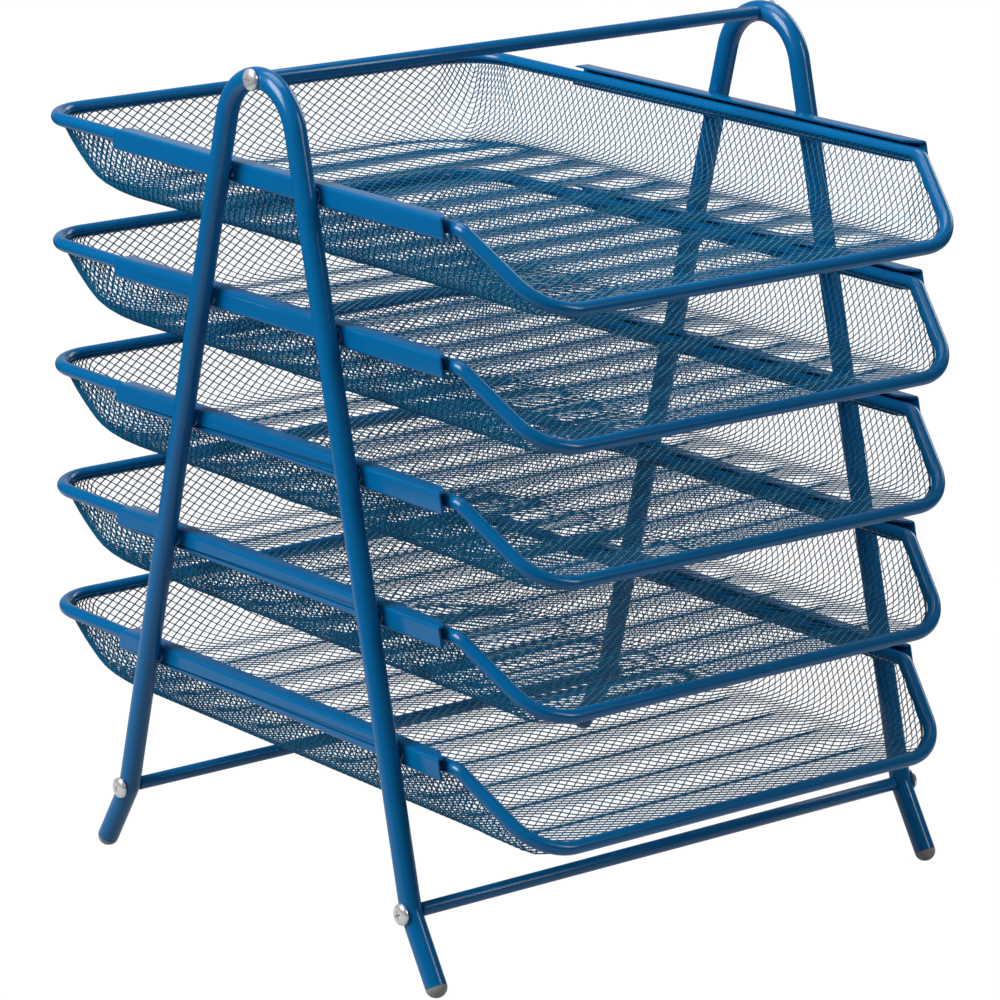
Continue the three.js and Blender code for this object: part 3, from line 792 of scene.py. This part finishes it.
def sheet_nodes():
    """The nodes where strands meet: their points, their normals, and which of them are cut off.

    Points and normals are lists. The last is a table whose first index counts nodes across the sheet,
    and whose second counts them towards the rear. It holds -1 or 1, the side, for a node outside the
    sheet's edge, and 0 for the others.
    """
    margin = 0.3  # normals are taken this far inside the sheet's front and rear edges
    far_side, front, rear = SHEET_SIDE + EDGE_WRAP, SHEET_FRONT - EDGE_WRAP, SHEET_REAR + EDGE_WRAP
    across = np.linspace(-far_side, far_side, 1 + round(2 * far_side / (DIAMOND[0] / 2)))
    along = np.linspace(front, rear, 1 + round((rear - front) / (DIAMOND[1] / 2)))
    u, v = np.meshgrid(across, along, indexing="ij")
    foot, share = section_at(v)
    limit = np.minimum(foot + share * WALL_LENGTH, SHEET_SIDE)
    inner_u, inner_v = np.clip(u, -limit, limit), np.clip(v, SHEET_FRONT, SHEET_REAR)
    points = sheet_point(inner_u, inner_v).reshape(-1, 3)
    well_inside = np.clip(inner_v, SHEET_FRONT + margin, SHEET_REAR - margin)
    normals = sheet_normal(inner_u * (1 - 1e-3), well_inside).reshape(-1, 3)
    past = np.minimum(np.maximum(np.abs(u - inner_u), np.abs(v - inner_v)), EDGE_WRAP).reshape(-1)
    is_past = past > 0
    points[is_past], normals[is_past] = laid_on_rim(points[is_past], past[is_past])
    is_cut_off = np.abs(u) >= limit + EDGE_WRAP - TINY
    return points, normals, np.where(is_cut_off, np.sign(u), 0)


def shared_numbers(cut_off):
    """A number for each node. Those of a row that are cut off at one side share the innermost's."""
    columns, rows = cut_off.shape
    number = np.arange(cut_off.size).reshape(cut_off.shape)
    from_middle = np.abs(np.arange(columns)[:, None] - (columns - 1) / 2)
    for side in (-1, 1):
        is_cut = cut_off == side
        innermost = np.argmin(np.where(is_cut, from_middle, np.inf), axis=0)
        number = np.where(is_cut, number[innermost, np.arange(rows)], number)
    return number


def diamonds(number):
    """The four nodes round each hole, by number: on its right, behind it, on its left, in front."""
    columns, rows = number.shape
    i, j = np.meshgrid(np.arange(columns), np.arange(rows), indexing="ij")
    is_hole = (i + j) % 2 == 1
    i, j = i[is_hole], j[is_hole]

    def neighbour(di, dj):
        a, b = i + di, j + dj
        is_missing = (a < 0) | (a >= columns) | (b < 0) | (b >= rows)
        return number[np.where(is_missing, i, a), np.where(is_missing, j, b)]

    return np.stack([neighbour(1, 0), neighbour(0, 1), neighbour(-1, 0), neighbour(0, -1)], 1)


def tidy_faces(vertices, faces):
    """Drops unused points, and turns a face with two corners in one place into a triangle."""
    used, faces = np.unique(faces, return_inverse=True)
    shaped = []
    for face in faces.reshape(-1, 4).tolist():
        ring = [v for k, v in enumerate(face) if v != face[k - 1]]
        if len(ring) > 2:
            shaped.append(ring)
    return vertices[used], shaped


def expanded_metal():
    """The basket as real strands: a sheet of diamonds, each a ring of metal round its hole."""
    points, normals, cut_off = sheet_nodes()
    corners = diamonds(shared_numbers(cut_off))
    around = points[corners]
    centre = around.mean(axis=1, keepdims=True)
    spokes = around - centre
    area = np.linalg.norm(np.cross(spokes, np.roll(spokes, -1, axis=1)), axis=2).sum(axis=1) / 2
    outline = np.linalg.norm(around - np.roll(around, -1, axis=1), axis=2).sum(axis=1)
    is_kept = area > LEAST_AREA
    corners, centre, spokes = corners[is_kept], centre[is_kept], spokes[is_kept]
    opening = np.clip(1 - STRAND_WIDTH / 2 / (2 * area[is_kept] / outline[is_kept]), LEAST_OPENING, 1)
    lean = np.array([0, STRAND_TWIST, 0, -STRAND_TWIST])[:, None]
    tilt = normals[corners].mean(axis=1, keepdims=True) * lean
    hole = centre + spokes * opening[:, None, None] + tilt

    count, cells = len(points), len(corners)
    rise = normals * STRAND_THICKNESS / 2
    vertices = np.vstack([points + rise, points - rise, hole.reshape(-1, 3)])
    edge = 2 * count + np.arange(4 * cells).reshape(cells, 4)
    next_corners, next_edge = np.roll(corners, -1, axis=1), np.roll(edge, -1, axis=1)
    above = np.stack([corners, next_corners, next_edge, edge], 2).reshape(-1, 4)
    below = np.stack([next_corners + count, corners + count, edge, next_edge], 2).reshape(-1, 4)

    sides = np.stack([corners, next_corners], 2).reshape(-1, 2)
    has_partner = np.isin(sides[:, 0] * count + sides[:, 1], sides[:, 1] * count + sides[:, 0])
    start, end = sides[~has_partner & (sides[:, 0] != sides[:, 1])].T
    border = np.stack([end, start, start + count, end + count], 1)
    return tidy_faces(vertices, np.vstack([above, below, border]))


def build_trays():
    rod = sweep(rim_line(), circle(RIM_R, ROD_SIDES), (0, 0, 1), closed=True)
    rim = smoothed(make_mesh("rim_rod", rod))
    strands = make_mesh("expanded_metal", expanded_metal())
    for level in TRAYS:
        body = f"tray_{level}"
        place = at(0, 0, middle(f"left_channel_{level}")[2] - RIM_SAG)
        add(f"{body}_rod", rim, PAINT, body, f"{body}_rim", place)
        add(f"{body}_basket", strands, MESH_PAINT, body, f"{body}_mesh", place)


build_stand()
build_channels()
build_trays()


# The studio

CAMERA_PLACE = (-1321.91, -1647.915, 743.6)
CAMERA_TURN = (-38.794, 15.407, 0.445)  # azimuth, elevation and roll in degrees
FOCAL_PIXELS = 4907.3
PICTURE_PIXELS = 1000

WHITE = (1, 1, 1, 1)
GROUND_HALF_SIZE = 4000.0
GROUND_DROP = 0.2
GROUND_GREY = (0.35, 0.35, 0.35, 1)
GROUND_GLOW = 1.07  # strength of the white that the eye sees
GROUND_GLOW_SHARE = 0.93  # the rest is lit ground, which shows the shadow
GROUND_NEAR = (0.60, 0.80)  # metres from the stand between which the ground's mirror image fades
MIRRORED_NEAR = 0.55
MIRRORED_FAR = 0.02

FILL = 0.16  # strength of the light from all round
BACKDROP_WAY = (0.627, 0.779, 0)
BACKDROP_EDGE = (0.75, 1.0)  # cosines from that way between which the mirrored backdrop brightens
MIRRORED_BACKDROP = 0.45
MIRRORED_ROOM = 0.03

LAMP_AIM = (0, 0, 0.18)  # metres
LAMPS = {  # place and size in metres, power in watts
    "left_box": ((-1.75, 0.5, 1.75), (1.2, 1.4), 62),
    "front_box": ((0.9, -1.8, 1.3), (0.35, 1.0), 9),
    "right_box": ((2.2, 0.4, 1.2), (1.0, 1.2), 14),
    "top_box": ((0.1, 0.5, 2.0), (1.2, 1.2), 14),
}


def camera_axes(azimuth, elevation, roll):
    """The camera's right, up and backward axes."""
    a, e, r = map(math.radians, (azimuth, elevation, roll))
    back = Vector((math.sin(a) * math.cos(e), -math.cos(a) * math.cos(e), math.sin(e)))
    right = Vector((math.cos(a), math.sin(a), 0))
    up = back.cross(right)
    return right * math.cos(r) + up * math.sin(r), up * math.cos(r) - right * math.sin(r), back


def build_camera():
    data = bpy.data.cameras.new("camera")
    data.sensor_fit = "HORIZONTAL"
    data.lens = FOCAL_PIXELS / PICTURE_PIXELS * data.sensor_width
    data.clip_start, data.clip_end = 0.1, 30
    camera = bpy.data.objects.new("camera", data)
    bpy.context.scene.collection.objects.link(camera)
    turn = Matrix(camera_axes(*CAMERA_TURN)).transposed().to_4x4()
    camera.matrix_world = at(*CAMERA_PLACE, turn)
    bpy.context.scene.camera = camera


def ray(wire, kind):
    """1 for rays of that kind and 0 for the others."""
    return wire.node("ShaderNodeLightPath", output=f"Is {kind} Ray")


def light(wire, kind, strength):
    """White light from a surface or from the sky."""
    return wire.node(kind, {}, {"Color": WHITE, "Strength": strength})


def fade(wire, value, ends, start, end):
    """A value that goes from start to end while another runs between its ends."""
    sockets = {"Value": value, "From Min": ends[0], "From Max": ends[1], "To Min": start, "To Max": end}
    return wire.node("ShaderNodeMapRange", {}, sockets)


def mixed(wire, share, first, second):
    """The first shader where the share is 0 and the second where it is 1."""
    return wire.node("ShaderNodeMixShader", {}, {0: share, 1: first, 2: second})


def white_sweep():
    """White to the eye with a faint shadow, and mirrored in the paint only near the stand."""
    material, wire = new_material("white_sweep")
    place = wire.node("ShaderNodeTexCoord", output="Object")
    reach = wire.node("ShaderNodeVectorMath", {"operation": "LENGTH"}, {0: place}, output="Value")
    is_near = fade(wire, reach, GROUND_NEAR, 1.0, 0.0)
    lit = wire.node("ShaderNodeBsdfDiffuse", {}, {"Color": GROUND_GREY})
    strengths = (GROUND_GLOW, MIRRORED_NEAR, MIRRORED_FAR)
    glow, near, far = (light(wire, "ShaderNodeEmission", each) for each in strengths)
    seen = mixed(wire, ray(wire, "Camera") * GROUND_GLOW_SHARE, lit, glow)
    finish_material(wire, mixed(wire, ray(wire, "Glossy"), seen, mixed(wire, is_near, far, near)))
    return material


def build_ground():
    size = GROUND_HALF_SIZE
    corners = [(-size, -size), (size, -size), (size, size), (-size, size)]
    mesh = make_mesh("floor", ([(x, y, -GROUND_DROP) for x, y in corners], [(0, 1, 2, 3)]))
    mesh.materials.append(white_sweep())
    floor = bpy.data.objects.new("floor", mesh)
    bpy.context.scene.collection.objects.link(floor)


def build_world():
    """White to the eye. The paint mirrors a bright backdrop behind the stand, and a dark room."""
    world = bpy.data.worlds.new("studio")
    bpy.context.scene.world = world
    world.use_nodes = True
    world.node_tree.nodes.clear()
    wire = Wire(world.node_tree)
    way = wire.node("ShaderNodeTexCoord", output="Generated")
    settings, sockets = {"operation": "DOT_PRODUCT"}, {0: way, 1: BACKDROP_WAY}
    behind = wire.node("ShaderNodeVectorMath", settings, sockets, output="Value")
    strengths = (MIRRORED_ROOM, MIRRORED_BACKDROP, FILL, 1.0)
    room, backdrop, fill, white = (light(wire, "ShaderNodeBackground", each) for each in strengths)
    mirrored = mixed(wire, fade(wire, behind, BACKDROP_EDGE, 0.0, 1.0), room, backdrop)
    unseen = mixed(wire, ray(wire, "Glossy"), fill, mirrored)
    wire.node("ShaderNodeOutputWorld", {}, {"Surface": mixed(wire, ray(wire, "Camera"), unseen, white)})


def build_lamps():
    """Soft rectangular lamps that face the trays."""
    for name, (place, size, power) in LAMPS.items():
        data = bpy.data.lights.new(name, "AREA")
        data.shape = "RECTANGLE"
        data.size, data.size_y = size
        data.energy = power
        lamp = bpy.data.objects.new(name, data)
        bpy.context.scene.collection.objects.link(lamp)
        lamp.location = place
        lamp.rotation_mode = "QUATERNION"
        lamp.rotation_quaternion = (Vector(place) - Vector(LAMP_AIM)).to_track_quat("Z", "Y")


build_camera()
build_ground()
build_world()
build_lamps()
bpy.context.scene.view_settings.view_transform = "Standard"
